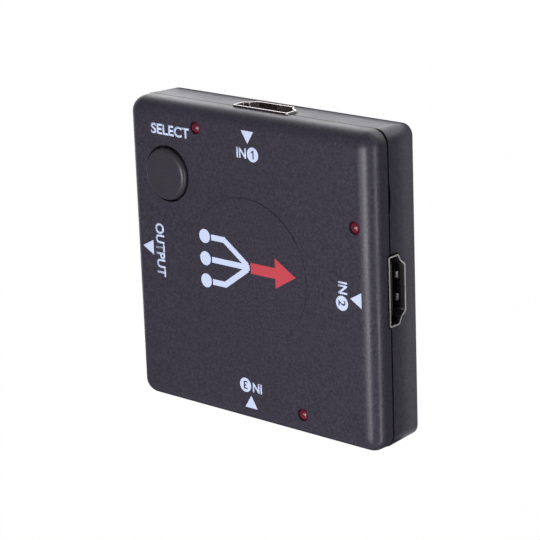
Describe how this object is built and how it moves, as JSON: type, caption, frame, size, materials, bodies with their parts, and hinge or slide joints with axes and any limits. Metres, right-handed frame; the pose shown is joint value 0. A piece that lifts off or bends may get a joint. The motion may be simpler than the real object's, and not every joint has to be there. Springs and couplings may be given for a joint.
{
  "type": "video input selector box",
  "caption": "Flat square selector box for digital video leads, with a D-shaped socket in each side, status lamps and a round push button.",
  "frame": {"origin": "middle of the flat back, which lies on the table", "axes": "+Z out of the printed face, +X towards input 2, +Y towards input 1"},
  "size_m": [0.0664, 0.0666, 0.0153],
  "materials": {
    "front_plastic": "fine matt texture",
    "back_plastic": "fine matt texture",
    "screw_steel": "zinc plated",
    "board": "green solder mask",
    "button_plastic": "fine matt",
    "plunger_plastic": "moulded",
    "switch_plastic": "moulded",
    "switch_steel": "tinned",
    "spring_steel": "sprung sheet",
    "tinned_lead": "tinned",
    "red_lens": "tinted clear",
    "socket_steel": "nickel plated sheet",
    "socket_plastic": "moulded",
    "contact_gold": "gold flashed",
    "chip_plastic": "moulded epoxy",
    "resistor": "coated ceramic",
    "capacitor": "ceramic"
  },
  "bodies": {
    "case": {"front_shell": "front_plastic", "back_shell": "back_plastic", "case_screws": "screw_steel", "circuit_board": "board", "switch_base": "switch_plastic", "switch_cover": "switch_steel", "switch_dome": "spring_steel", "switch_legs": "tinned_lead", "input_1_lamp": "red_lens", "input_2_lamp": "red_lens", "input_3_lamp": "red_lens", "lamp_leads": "tinned_lead", "input_1_socket_shell": "socket_steel", "input_1_insulator": "socket_plastic", "input_1_contacts": "contact_gold", "input_2_socket_shell": "socket_steel", "input_2_insulator": "socket_plastic", "input_2_contacts": "contact_gold", "input_3_socket_shell": "socket_steel", "input_3_insulator": "socket_plastic", "input_3_contacts": "contact_gold", "output_socket_shell": "socket_steel", "output_insulator": "socket_plastic", "output_contacts": "contact_gold", "selector_chip": "chip_plastic", "selector_chip_leads": "tinned_lead", "controller_chip": "chip_plastic", "controller_chip_leads": "tinned_lead", "chip_resistors": "resistor", "chip_capacitors": "capacitor"},
    "button": {"select_button": "button_plastic", "switch_plunger": "plunger_plastic"}
  },
  "joints": [
    {"name": "button_press", "type": "slide", "parent": "case", "child": "button", "axis": [0, 0, 1], "range_m": [-0.0003, 0], "stiffness_N_per_m": 3000, "springref_m": 0.0002, "deforming": ["switch_dome"]}
  ]
}
